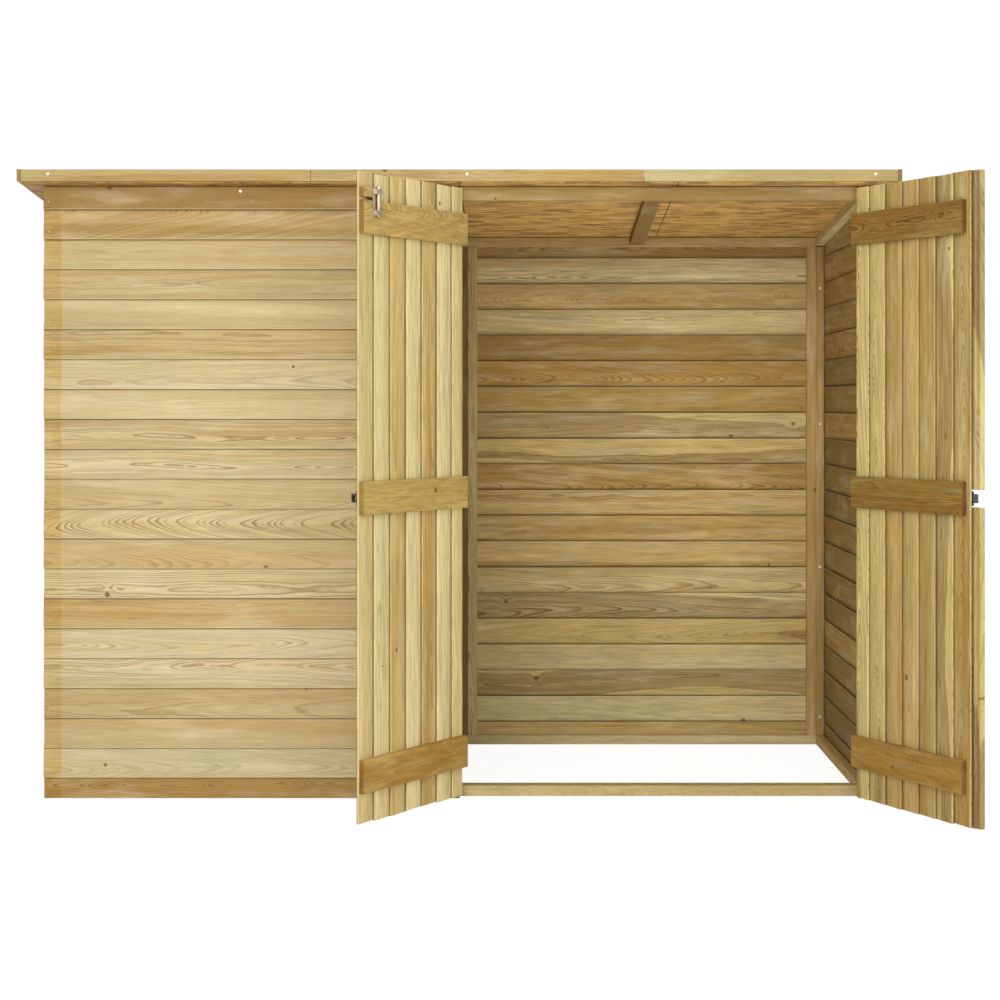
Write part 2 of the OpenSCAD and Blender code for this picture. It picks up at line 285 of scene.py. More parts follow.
# What each board's own numbers are drawn with. They set the place of its pith across it and through it,
# the pith's lean, the rings' pitch and strength, the heartwood's radius and the strength of the painted
# shade at its lap.
BOARD_FACTORS = (17.3, 91.7, 53.9, 7.77, 29.1, 41.7, 63.1)
BOARD_COLOURS = ("pale", "straw", "tan", "honey", "brown")


def timber(name, tint=(1, 1, 1), knots=0.16, rings=1.0, rough=1.0, cover=0, stained_ends=False):
    """Sawn softwood: rings about each board's own pith, heartwood inside them and fibres along it.

    Lapped boards give their cover, and get a line of painted shade at each lap and painted highlights on
    their arrises.
    """
    colours = bpy.context.scene.shed_colours
    lap = bpy.context.scene.shed_sizes.lap

    def build(nodes):
        along, through, across = nodes.split(nodes.attribute("grain", AS_VECTOR))
        board, shade, hearty = [nodes.attribute(key, AS_NUMBER) for key in ("board", "shade", "heart")]
        pith_across, pith_through, pith_lean, ring_pitch, ring_strength, heart_size, lap_shade_strength = [
            nodes.maths("FRACT", board * factor) for factor in BOARD_FACTORS
        ]
        # Each board lies in a part of the noise of its own
        run = along + board * 31
        wide = across + board * 17

        def figure(long, deep, broad, detail, roughness=0.5):
            """Noise with its scale along, through and across the board."""
            place = nodes.xyz(run * long, through * deep, wide * broad)
            return nodes.noise(place, detail=detail, roughness=roughness)

        sway = figure(1.4, 4, 3, 1)
        drift = figure(4.5, 12, 15, 1.5)
        ripple = figure(24, 70, 70, 1)
        fleck = figure(15, 140, 140, 2, 0.6)
        fibre = figure(9, 420, 420, 2, 0.7)
        # Knots, in cells along the board
        cells = {"Vector": nodes.xyz(run * 5.2, wide * 5.2, 0), "Scale": 1}
        cell = nodes.add("ShaderNodeTexVoronoi", {"voronoi_dimensions": "2D"}, cells)
        chance, size, _ = nodes.split(nodes.other(cell, 1))
        here = nodes.maths("LESS_THAN", chance, knots)
        knot_r = 0.02 + size * 0.034
        knot = here * nodes.smooth(cell, knot_r, knot_r * 0.6)
        bend = here * nodes.smooth(cell, 0.24, 0.0) ** 2
        # Rings, thin and dark at their outer side, with the heartwood inside a radius of its own
        side = across + (pith_across - 0.5) * 0.07 + (sway - 0.5) * (0.06 + hearty * 0.06)
        depth = through + 0.006 + pith_through * (0.024 - hearty * 0.014) + (drift - 0.5) * 0.02
        radius = nodes.maths("SQRT", side * side + depth * depth) + bend * 0.014
        lean = pith_lean - 0.5
        cone = radius + along * (lean * lean * lean * 1.6) + (ripple - 0.5) * 0.003
        turn = cone / (0.0024 + ring_pitch * 0.0026)
        saw = nodes.maths("FRACT", turn)
        band = nodes.smooth(saw, 0.3, 0.88) * nodes.smooth(saw, 1.0, 0.92)
        year = nodes.xyz(nodes.maths("FLOOR", turn) * 0.73, board * 40, run * 0.6)
        heavy = nodes.noise(year, scale=2, detail=0)
        strength = 0.2 + ring_strength ** 2 * 0.8 + hearty * 0.3
        late = band * nodes.smooth(heavy, 0.3, 0.62) * strength * rings
        heart_r = 0.025 + heart_size * 0.012
        blur = 0.0015
        heart = nodes.smooth(cone + (fleck - 0.5) * 0.003, heart_r + blur, heart_r - blur) * hearty
        # Streaks, pale patches of painted sheen, silver streaks of dulled fibres and the green cast of
        # the treatment
        streak = figure(0.6, 5, 20, 2.5)
        sheen_patch = figure(3.2, 6, 15, 3, 0.6)
        silver = figure(3.2, 40, 62, 2.5, 0.65)
        cast = nodes.noise(nodes.xyz(run * 0.8, through * 2, wide * 6 + 40), detail=1)
        inside = nodes.maths("GREATER_THAN", through, 0) if cover else 0.4
        last = len(BOARD_COLOURS) - 1
        stops = [(number / last, getattr(colours, key)) for number, key in enumerate(BOARD_COLOURS)]
        colour = nodes.ramp(shade + (nodes.smooth(streak, 0.42, 0.6) - 0.45) * 0.28, stops)
        colour = nodes.mix(nodes.smooth(cast, 0.42, 0.75) * 0.32, colour, colours.green)
        colour = nodes.mix(hearty * 0.6, colour, colours.yellow)
        colour = nodes.mix(heart * 0.9, colour, nodes.tinted(colour, colours.heart))
        # Painted sheen: pale patches laid on the colour
        colour = nodes.mix(nodes.smooth(sheen_patch, 0.5, 0.72) * 0.4, colour, colours.sheen)
        dull = nodes.smooth(silver, 0.5, 0.68) * (0.2 + inside * 0.34)
        colour = nodes.mix(dull, colour, colours.silver)
        # Light and dark of the sawn face, lifted where the painted sheen lies, and dimmed for the shades
        # past the darkest colour, which on some parts are painted shade
        worn = 0.96 - nodes.smooth(silver, 0.46, 0.3) * (0.08 + inside * 0.14) + sheen_patch * 0.12
        sawn = (fleck - 0.5) * (0.36 + inside * 0.26) + (fibre - 0.5) * (0.22 + inside * 0.14)
        past = nodes.maths("MAXIMUM", shade - 1.1, 0)
        colour = nodes.shaded(colour, (worn + sawn * rough) * (1 - past * 0.9))
        colour = nodes.mix(late * 0.95, colour, nodes.tinted(colour, colours.late))
        colour = nodes.mix(knot * 0.8, colour, colours.knot)
        colour = nodes.tinted(colour, tint)
        is_end = nodes.attribute("end", AS_NUMBER)
        colour = nodes.mix(is_end * 0.9, colour, nodes.tinted(colour, colours.end_grain))
        if cover:
            # Painted light: each face of a lapped board takes its own tint
            colour = nodes.tinted(colour, nodes.mix(inside, colours.outer, colours.inner))
            # Painted shade at each lap and painted highlights on the arrises
            colour = lap_shade_and_highlight(nodes, colour, through, across, cover, lap, 0.5 + lap_shade_strength * 0.5)
        if stained_ends:
            stain = nodes.smooth(along + (drift - 0.5) * 0.01, 0.048, 0.043)
            stain = stain * (0.3 + 0.6 * size) * (1 - inside)
            colour = nodes.mix(stain, colour, nodes.tinted(colour, colours.end_stain))
        return {
            "Base Color": colour,
            "Roughness": 0.62 + fibre * 0.2 - late * 0.12,
            "Specular IOR Level": 0.3,
            "Normal": nodes.bump(0.4, 0.0012, fibre * 0.4 + fleck * 0.4 - late * 0.3),
        }

    return new_material(name, build)


def lap_shade_and_highlight(nodes, colour, through, across, cover, lap, lap_shade_strength):
    """Painted shade in the corner at each lap, and a painted highlight on the arris beside it, on both
    faces of a board.
    """
    full = cover + lap
    rise = across + full / 2
    outside = nodes.maths("LESS_THAN", through, 0)
    outer = outside * nodes.smooth(rise, cover - 0.006, cover - 0.001)
    inner = (1 - outside) * nodes.smooth(rise, lap + 0.008, lap + 0.001)
    line = bpy.context.scene.shed_colours.lap_shade_colour
    # Painted shade: a dark line where each lap's corner lies in shade
    colour = nodes.mix((outer * 0.7 + inner * 0.8) * lap_shade_strength, colour, line)
    # Painted highlight: a pale line on the board's proud arris
    arris_highlight = outside * nodes.smooth(rise, 0.0026, 0.0008) * 0.42
    arris_highlight = arris_highlight + (1 - outside) * nodes.smooth(rise, full - 0.0026, full - 0.0008) * 0.18
    return nodes.mix(arris_highlight, colour, srgb(240, 226, 180))


def strand_board():
    """Pressed strands of wood, lying in layers that cross."""
    colours = bpy.context.scene.shed_colours

    def layer(nodes, place, angle, long, wide):
        """A number for each strand, and how light it is with its grain."""
        mapping = {"Vector": place, "Rotation": (0, 0, math.radians(angle)), "Scale": (long, wide, 60)}
        turned = nodes.add("ShaderNodeMapping", None, mapping)
        cells = {"Vector": turned, "Scale": 1}
        cell = nodes.add("ShaderNodeTexVoronoi", {"voronoi_dimensions": "3D"}, cells)
        chance, value, _ = nodes.split(nodes.other(cell, 1))
        grain = nodes.noise(turned, scale=1, detail=3, roughness=0.65)
        fine = nodes.noise(nodes.vector("MULTIPLY", turned, (0.4, 14, 1)), scale=1, detail=2)
        edge = nodes.smooth(cell, 0.35, 0.62)
        return chance, value * 0.55 + grain * 0.2 + fine * 0.35 - edge * 0.12

    def build(nodes):
        place = nodes.place()
        x, _, _ = nodes.split(place)
        wander = nodes.noise(place, scale=7, detail=2)
        place = nodes.vector("ADD", place, nodes.xyz(wander * 0.02, wander * -0.016, 0))
        # Three layers, each with its turn in degrees and its strands to a metre along and across them
        _, lowest = layer(nodes, place, 5, 13, 42)
        chance, middle = layer(nodes, place, -21, 15, 46)
        over, top = layer(nodes, place, 38, 16, 50)
        pick = nodes.maths("GREATER_THAN", chance, 0.55)
        value = lowest * (1 - pick) + middle * pick
        pick = nodes.maths("GREATER_THAN", over, 0.68)
        value = value * (1 - pick) + top * pick
        stops = [(0.2, colours.strand_dark), (0.5, srgb(190, 148, 78)), (0.85, colours.strand_light)]
        colour = nodes.ramp(value, stops)
        # A dark line where two sheets meet
        pitch = node_box("roof_sheet_2")[0].x - node_box("roof_sheet_1")[0].x
        away = nodes.maths("ABSOLUTE", nodes.maths("FRACT", x / pitch + 0.5) - 0.5) * pitch
        joint = 1 - nodes.smooth(away, 0.0024, 0.0014) * 0.55
        colour = nodes.shaded(colour, joint)
        bump = nodes.bump(0.4, 0.001, value)
        return {"Base Color": colour, "Roughness": 0.55 + value * 0.2, "Normal": bump}

    return new_material("pressed_strands", build)


def mineral_felt():
    """Bitumen felt under fine mineral grains."""
    colours = bpy.context.scene.shed_colours

    def build(nodes):
        place = nodes.place()
        grain = nodes.add("ShaderNodeTexVoronoi", None, {"Vector": place, "Scale": 620}, out=1)
        speck, depth, _ = nodes.split(grain)
        patch = nodes.noise(place, scale=3.5, detail=4, roughness=0.6)
        dust = nodes.noise(nodes.vector("MULTIPLY", place, (6, 1.4, 1)), scale=2, detail=3)
        light = 0.55 + speck * 0.65 + (patch - 0.5) * 0.5
        colour = nodes.shaded(colours.felt, light)
        colour = nodes.mix(nodes.smooth(dust, 0.45, 0.8) * 0.14, colour, srgb(150, 146, 128))
        bump = nodes.bump(0.6, 0.001, depth)
        return {"Base Color": colour, "Roughness": 0.82 + depth * 0.12, "Normal": bump}

    return new_material("mineral_felt", build)


def plated_steel(name="plated_steel", bright=False):
    """Zinc-plated steel, dulled in patches, or near-white and barely metallic, a painted shine."""
    colours = bpy.context.scene.shed_colours
    zinc = colours.bright if bright else colours.zinc

    def build(nodes):
        place = nodes.place()
        patch = nodes.noise(place, scale=55, detail=3)
        brush = nodes.noise(nodes.vector("MULTIPLY", place, (40, 40, 900)), scale=1, detail=2)
        tarnish = nodes.smooth(patch, 0.4, 0.7) * (0.1 if bright else 0.6)
        warm = nodes.mix(tarnish, zinc, srgb(178, 150, 118))
        dark = 0.8 + brush * 0.3
        colour = nodes.shaded(warm, dark)
        bump = nodes.bump(0.15, 0.0004, brush)
        return {
            "Base Color": colour,
            "Metallic": 0.3 if bright else 1.0,
            "Roughness": 0.3 + patch * 0.3,
            "Normal": bump,
        }

    return new_material(name, build)


def black_steel():
    """Painted steel, worn to the metal here and there."""
    colours = bpy.context.scene.shed_colours

    def build(nodes):
        place = nodes.place()
        patch = nodes.noise(place, scale=90, detail=4, roughness=0.65)
        worn = nodes.smooth(patch, 0.6, 0.72)
        colour = nodes.mix(worn * 0.5, colours.black, srgb(104, 92, 78))
        bump = nodes.bump(0.2, 0.0005, patch)
        return {
            "Base Color": colour,
            "Metallic": worn * 0.6,
            "Roughness": 0.5 - worn * 0.12,
            "Normal": bump,
        }

    return new_material("black_steel", build)


# The finish of each of the record's material slots, and of the screws that have one of their own
FINISHES = {
    "wall_board": lambda: timber(
        "wall_timber", cover=bpy.context.scene.shed_sizes.wall_cover, stained_ends=True
    ),
    "framing": lambda: timber("framing_timber", tint=srgb(238, 236, 228), knots=0.2),
    "trim_batten": lambda: timber("trim_timber", tint=srgb(234, 234, 226), knots=0.1),
    # Painted light: a tint above 1 lightens the door boards beyond the walls' boards
    "door_board": lambda: timber(
        "door_timber", tint=(1.1, 1.1, 1.06), knots=0.1, cover=bpy.context.scene.shed_sizes.door_cover
    ),
    "ledge": lambda: timber("ledge_timber", tint=srgb(232, 220, 180), knots=0.3, rings=1.35, rough=2),
    "strand_board": strand_board,
    "roof_felt": mineral_felt,
    "zinc_steel": plated_steel,
    # Painted reflection: pale, barely metallic screws
    "painted_shine_screws": lambda: plated_steel("painted_shine_steel", bright=True),
    "dark_steel": black_steel,
}
made_finishes = {}


def finish_of(slot):
    """The finish of a material slot, made when it is first asked for."""
    if slot not in made_finishes:
        made_finishes[slot] = FINISHES[slot]()
    return made_finishes[slot]


# Pieces


def corners(points):
    """The lowest and the highest corner round some points."""
    return tuple(Vector([pick(p[i] for p in points) for i in range(3)]) for pick in (min, max))


def node_box(node, turn=None):
    """Corners of a CAD node, in the frame that turn takes to its rest pose."""
    back = turn.inverted() if turn else Matrix.Identity(4)
    return corners([back @ v.co for v in frame["nodes"][node].data.vertices])


def hinge_of(door):
    return next(joint for joint in frame["joints"] if joint["name"] == door + "_hinge")


def hang(door):
    """The turn of a door from closed to its rest pose, from its joint."""
    joint = hinge_of(door)
    angle = math.radians(-joint["range_deg"][0])
    pivot = Matrix.Translation(Vector(joint["pos_m"]))
    return pivot @ Matrix.Rotation(angle, 4, Vector(joint["axis"])) @ pivot.inverted()


def mesh_piece(name, mesh, body, slot, nodes=()):
    """A finished piece: it rides on a body, takes a slot's finish and stands for CAD nodes."""
    mesh.materials.clear()
    mesh.materials.append(finish_of(slot))
    piece = bpy.data.objects.new(name, mesh)
    bpy.context.scene.collection.objects.link(piece)
    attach(piece, body)
    if nodes:
        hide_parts(*nodes)
    return piece


def repaint(node, slot):
    """Gives a CAD node that stays its finish."""
    for place in frame["nodes"][node].material_slots:
        place.material = finish_of(slot)


def plain_mesh(name, tree, inputs, source=None):
    """What a geometry tree makes of a mesh, as a plain mesh. The modifier goes with its object."""
    holder = bpy.data.objects.new(name + "_source", source or bpy.data.meshes.new(name + "_source"))
    bpy.context.scene.collection.objects.link(holder)
    modifier = holder.modifiers.new(name, "NODES")
    modifier.node_group = tree
    sockets = {s.name: s.identifier for s in tree.interface.items_tree if s.in_out == "INPUT"}
    for key, value in inputs.items():
        modifier[sockets[key]] = value
    graph = bpy.context.evaluated_depsgraph_get()
    mesh = bpy.data.meshes.new_from_object(holder.evaluated_get(graph))
    mesh.name = name
    bpy.data.objects.remove(holder)
    return mesh


def geometry_tree(name, inputs):
    """A new geometry tree with named inputs, and a Field for each of them."""
    tree = bpy.data.node_groups.new(name, "GeometryNodeTree")
    nodes = NodeMaker(tree)
    tree.interface.new_socket("Geometry", in_out="INPUT", socket_type="NodeSocketGeometry")
    for label, kind in inputs.items():
        tree.interface.new_socket(label, in_out="INPUT", socket_type="NodeSocket" + kind)
    tree.interface.new_socket("Geometry", in_out="OUTPUT", socket_type="NodeSocketGeometry")
    first = nodes.add("NodeGroupInput")
    fields = {label: nodes.other(first, label) for label in ["Geometry", *inputs]}
    return tree, nodes, fields


def store(nodes, geometry, name, kind, domain, value):
    """Stores a named attribute of a geometry."""
    settings = {"data_type": kind, "domain": domain}
    values = {"Geometry": geometry, "Name": name, "Value": value}
    return nodes.add("GeometryNodeStoreNamedAttribute", settings, values)


def random_number(nodes, low, high, seed, index):
    """A random number by the node's sockets for plain numbers."""
    values = {2: low, 3: high, "ID": index, "Seed": seed}
    return nodes.add("FunctionNodeRandomValue", {"data_type": "FLOAT"}, values, out=1)


def finish_tree(nodes, geometry, material):
    """Ends a tree in Realize Instances and Set Material."""
    real = nodes.add("GeometryNodeRealizeInstances", None, {0: geometry})
    done = nodes.add("GeometryNodeSetMaterial", None, {"Geometry": real, "Material": material})
    nodes.add("NodeGroupOutput", None, {"Geometry": done})


def lapped_boards_tree():
    """Boards that run along X, stacked up Z with a lap, their outer faces towards -Y."""
    lengths = ("Length", "Cover", "Lap", "First", "Thickness", "Edge", "End Play")
    inputs = {"Rows": "Int", **dict.fromkeys(lengths, "Float"), "Seed": "Int", "Material": "Material"}
    tree, nodes, given = geometry_tree("lapped_boards", inputs)

    def add(kind, values=None, settings=None):
        return nodes.add("GeometryNode" + kind, settings, values)

    height = given["Cover"] + given["Lap"]
    section = add("CurvePrimitiveQuadrilateral", {"Width": given["Thickness"], "Height": height})
    eased = {"Curve": section, "Count": 2, "Radius": given["Edge"]}
    section = add("FilletCurve", eased, {"mode": "POLY"})
    run = add("CurvePrimitiveLine", {"End": nodes.xyz(given["Length"] - given["End Play"], 0, 0)})
    board = add("CurveToMesh", {"Curve": run, "Profile Curve": section, "Fill Caps": True})
    board = store(nodes, board, "grain", "FLOAT_VECTOR", "POINT", add("InputPosition"))
    facing, _, _ = nodes.split(add("InputNormal"))
    is_end = nodes.maths("GREATER_THAN", nodes.maths("ABSOLUTE", facing), END_FACING)
    board = store(nodes, board, "end", "FLOAT", "FACE", is_end)
    # The top edge's back comes to the origin, and the board leans out from there
    shift = nodes.xyz(0, given["Thickness"] * -0.5, height * -0.5)
    board = add("Transform", {"Geometry": board, "Translation": shift})
    lean = nodes.maths("ARCTANGENT", given["Thickness"] / given["Cover"])
    board = add("Transform", {"Geometry": board, "Rotation": nodes.xyz(lean * -1, 0, 0)})
    start = nodes.xyz(0, 0, given["First"] + given["Lap"])
    step = nodes.xyz(0, 0, given["Cover"])
    row_line = {"Count": given["Rows"], "Start Location": start, "Offset": step}
    rows = add("MeshLine", row_line, {"mode": "OFFSET"})
    index = add("InputIndex")

    def drawn(low, high, number):
        """A random number for each board, from the number of the draw."""
        seed = given["Seed"] + number if number else given["Seed"]
        return random_number(nodes, low, high, seed, index)

    tilt = nodes.xyz(0, drawn(-0.0009, 0.0009, 0), 0)
    boards = add("InstanceOnPoints", {"Points": rows, "Instance": board, "Rotation": tilt})
    play = nodes.xyz(drawn(0, 1, 1) * given["End Play"], drawn(0, 0.0004, 2), drawn(-0.0007, 0, 3))
    boards = add("TranslateInstances", {"Instances": boards, "Translation": play})
    boards = store(nodes, boards, "board", "FLOAT", "INSTANCE", drawn(0, 1, 4))
    boards = store(nodes, boards, "row", "FLOAT", "INSTANCE", index)
    finish_tree(nodes, boards, given["Material"])
    return tree


def cut(mesh, point, normal):
    """Takes away what lies beyond a plane and closes the cut."""
    work = bmesh.new()
    work.from_mesh(mesh)
    everything = [*work.verts, *work.edges, *work.faces]
    bmesh.ops.bisect_plane(
        work, geom=everything, dist=1e-6, plane_co=point, plane_no=normal, clear_outer=True
    )
    bmesh.ops.holes_fill(work, edges=[e for e in work.edges if e.is_boundary], sides=0)
    work.to_mesh(mesh)
    work.free()


def roof_plane():
    """A point on the roof sheets' underside and the plane's upward normal."""
    spots = [v.co for v in frame["nodes"]["roof_sheet_1"].data.vertices]
    front = min(s.y for s in spots)
    back = max(s.y for s in spots)
    low_front = min(s.z for s in spots if s.y < front + NEAR)
    low_back = min(s.z for s in spots if s.y > back - NEAR)
    along = Vector((0, back - front, low_back - low_front)).normalized()
    return Vector((0, front, low_front)), Vector((0, -along.z, along.y))


def boards_piece(name, node, body, slot, shades, seed, place, length, height, cover, first, turn=None):
    """One panel of lapped boards in a CAD node's box. place takes the tree's frame to the panel's."""
    sizes = bpy.context.scene.shed_sizes
    low, high = node_box(node, turn)
    depth = min(high[i] - low[i] for i in range(3))
    tree = bpy.data.node_groups.get("lapped_boards") or lapped_boards_tree()
    rows = math.ceil((height - first - sizes.lap) / cover) + 1
    # Clear of the box's faces, and of the roof, by what lets them turn and shift a little
    clear, roof_clear = 0.0003, 0.0004
    mesh = plain_mesh(
        name,
        tree,
        {
            "Rows": rows,
            "Length": length,
            "Cover": cover,
            "Lap": sizes.lap,
            "First": first,
            "Thickness": depth / (2 + sizes.lap / cover) - clear,
            "Edge": sizes.board_edge,
            "End Play": sizes.end_play,
            "Seed": seed,
            "Material": finish_of(slot),
        },
    )
    cut(mesh, (0, 0, 0), (0, 0, -1))
    cut(mesh, (0, 0, height), (0, 0, 1))
    mesh.transform(place)
    if turn:
        mesh.transform(turn)
    else:
        point, up = roof_plane()
        cut(mesh, point - up * roof_clear, up)
    row = [round(v.value) for v in mesh.attributes["row"].data]
    chosen = random.Random(seed)
    letters = [shades[i % len(shades)] for i in range(rows)]
    shade_of = [SHADES[letter.lower()] + chosen.uniform(-SHADE_PLAY, SHADE_PLAY) for letter in letters]
    shade = mesh.attributes.new("shade", "FLOAT", "POINT")
    shade.data.foreach_set("value", [shade_of[i] for i in row])
    heart = mesh.attributes.new("heart", "FLOAT", "POINT")
    heart.data.foreach_set("value", [float(letters[i].isupper()) for i in row])
    return mesh_piece(name, mesh, body, slot, [node])


def islands(work):
    """The loose parts of a bmesh, each as a list of its vertices."""
    left = set(work.verts)
    found = []
    while left:
        part = []
        waiting = [left.pop()]
        while waiting:
            vertex = waiting.pop()
            part.append(vertex)
            for edge in vertex.link_edges:
                beside = edge.other_vert(vertex)
                if beside in left:
                    left.remove(beside)
                    waiting.append(beside)
        found.append(part)

    def low_corner(part):
        return tuple(round(min(v.co[i] for v in part), 4) for i in range(3))

    return sorted(found, key=low_corner)


def merged_copy(node, turn=None):
    """A CAD node's mesh with its doubles merged and its flat faces whole, in the frame of turn."""
    plain = frame["nodes"][node].data.copy()
    if "custom_normal" in plain.attributes:
        plain.attributes.remove(plain.attributes["custom_normal"])
    work = bmesh.new()
    work.from_mesh(plain)
    bpy.data.meshes.remove(plain)
    if turn:
        work.transform(turn.inverted())
    same_place, flat = 1e-5, 0.005
    bmesh.ops.remove_doubles(work, verts=work.verts, dist=same_place)
    bmesh.ops.dissolve_limit(work, angle_limit=flat, verts=work.verts, edges=work.edges)
    return work


def solids(node, turn=None):
    """Corners of each of a CAD node's solids, in the frame of turn."""
    work = merged_copy(node, turn)
    boxes = [corners([v.co for v in part]) for part in islands(work)]
    work.free()
    return boxes


def batten_piece(name, node, body, slot, shades, seed, turn=None):
    """A CAD node's pieces of timber with eased edges, each with a grain of its own along it."""
    edge_r = bpy.context.scene.shed_sizes.batten_edge
    work = merged_copy(node, turn)
    arris_angle = 0.5
    sharp = [e for e in work.edges if len(e.link_faces) == 2 and e.calc_face_angle() > arris_angle]
    bmesh.ops.bevel(
        work, geom=sharp, offset=edge_r, segments=2, profile=0.5, affect="EDGES", clamp_overlap=True
    )
    grain = work.verts.layers.float_vector.new("grain")
    board, shade, heart = [work.verts.layers.float.new(key) for key in ("board", "shade", "heart")]
    end = work.faces.layers.float.new("end")
    chosen = random.Random(seed)
    for number, part in enumerate(islands(work)):
        low, high = corners([v.co for v in part])
        middle = (low + high) / 2
        thin, wide, long = sorted(range(3), key=lambda i: high[i] - low[i])
        own = chosen.random()
        letter = shades[number % len(shades)]
        dark = SHADES[letter.lower()] + chosen.uniform(-SHADE_PLAY, SHADE_PLAY)
        for face in {face for vertex in part for face in vertex.link_faces}:
            face[end] = float(abs(face.normal[long]) > END_FACING)
        for vertex in part:
            off = vertex.co - middle
            vertex[grain] = (off[long], off[thin], off[wide])
            vertex[board] = own
            vertex[shade] = dark
            vertex[heart] = float(letter.isupper())
    mesh = bpy.data.meshes.new(name)
    work.to_mesh(mesh)
    work.free()
    if turn:
        mesh.transform(turn)
    return mesh_piece(name, mesh, body, slot, [node])


def batten_pieces(battens, slot, first_seed):
    """A piece of the shed for each CAD node in a dictionary of nodes and shades."""
    for seed, (node, shades) in enumerate(battens.items(), first_seed):
        batten_piece(node + "_timber", node, "shed", slot, shades, seed)


def ring(work, count, radius, height):
    """Vertices in a circle about Z."""
    turn = 2 * math.pi / count
    return [
        work.verts.new((radius * math.cos(i * turn), radius * math.sin(i * turn), height))
        for i in range(count)
    ]


def closed_skin(work, rings):
    """Joins rings of vertices, each with the next, into one closed skin."""
    for lower, upper in zip(rings, rings[1:]):
        count = len(lower)
        for i in range(count):
            work.faces.new((lower[i], lower[(i + 1) % count], upper[(i + 1) % count], upper[i]))
    work.faces.new(rings[-1])
    work.faces.new(rings[0][::-1])
    bmesh.ops.recalc_face_normals(work, faces=work.faces)
    return work


def screw_head():
    """A countersunk head of radius 1 with a cross recess, 12 points round."""
    work = bmesh.new()
    rings = [ring(work, 12, 1, -0.25), ring(work, 12, 1, 0.02), ring(work, 12, 0.84, 0.14)]
    arm, half = 0.6, 0.15
    corner = [(arm, -half), (arm, half), (half, half)]
    outline = []
    for quarter in range(4):
        turn = Matrix.Rotation(quarter * math.pi / 2, 2)
        outline += [turn @ Vector(p) for p in corner]
    outline = outline[1:] + outline[:1]
    for height in (0.16, -0.2):
        rings.append([work.verts.new((p.x, p.y, height)) for p in outline])
    return closed_skin(work, rings)


def nail_head():
    """A flat nail's head of radius 1, slightly domed."""
    work = bmesh.new()
    rings = [ring(work, 10, 1, -0.2), ring(work, 10, 1, 0.12), ring(work, 10, 0.7, 0.25)]
    return closed_skin(work, rings)


def heads_tree():
    """A head on each vertex, facing the way that the vertex's attribute says and turned by chance."""
    inputs = {"Head": "Object", "Radius": "Float", "Seed": "Int", "Material": "Material"}
    tree, nodes, given = geometry_tree("fixing_heads", inputs)
    points = nodes.add("GeometryNodeMeshToPoints", None, {"Mesh": given["Geometry"]})
    is_vector = {"data_type": "FLOAT_VECTOR"}
    facing = nodes.add("GeometryNodeInputNamedAttribute", is_vector, {"Name": "facing"})
    index = nodes.add("GeometryNodeInputIndex")
    spin = random_number(nodes, 0, 3.14, given["Seed"], index)
    spin = nodes.add("FunctionNodeAxisAngleToRotation", None, {"Axis": (0, 0, 1), "Angle": spin})
    aim = nodes.add("FunctionNodeAlignRotationToVector", {"axis": "Z"}, {"Vector": facing})
    both = {"Rotation": aim, "Rotate By": spin}
    aim = nodes.add("FunctionNodeRotateRotation", {"rotation_space": "LOCAL"}, both)
    head = nodes.add("GeometryNodeObjectInfo", None, {"Object": given["Head"]}, out=4)
    size = nodes.xyz(given["Radius"], given["Radius"], given["Radius"])
    instances = {"Points": points, "Instance": head, "Rotation": aim, "Scale": size}
    heads = nodes.add("GeometryNodeInstanceOnPoints", None, instances)
    finish_tree(nodes, heads, given["Material"])
    return tree


def heads_piece(name, body, slot, make_head, radius, spots):
    """Screw or nail heads at spots, which are pairs of a place and the way it faces."""
    head_mesh = bpy.data.meshes.new(name + "_head")
    work = make_head()
    work.to_mesh(head_mesh)
    work.free()
    head = bpy.data.objects.new(name + "_head", head_mesh)
    bpy.context.scene.collection.objects.link(head)
    source = bpy.data.meshes.new(name + "_spots")
    source.from_pydata([tuple(place) for place, _ in spots], [], [])
    facing = source.attributes.new("facing", "FLOAT_VECTOR", "POINT")
    facing.data.foreach_set("vector", [value for _, way in spots for value in way])
    tree = bpy.data.node_groups.get("fixing_heads") or heads_tree()
    inputs = {"Head": head, "Radius": radius, "Seed": 1, "Material": finish_of(slot)}
    mesh = plain_mesh(name, tree, inputs, source)
    bpy.data.objects.remove(head)
    return mesh_piece(name, mesh, body, slot)


def spots_on(points, way, turn=None):
    """Spots that all face one way, taken to the rest pose by turn."""
    if turn is None:
        return [(Vector(p), Vector(way)) for p in points]
    return [(turn @ Vector(p), turn.to_3x3() @ Vector(way)) for p in points]


# Operators


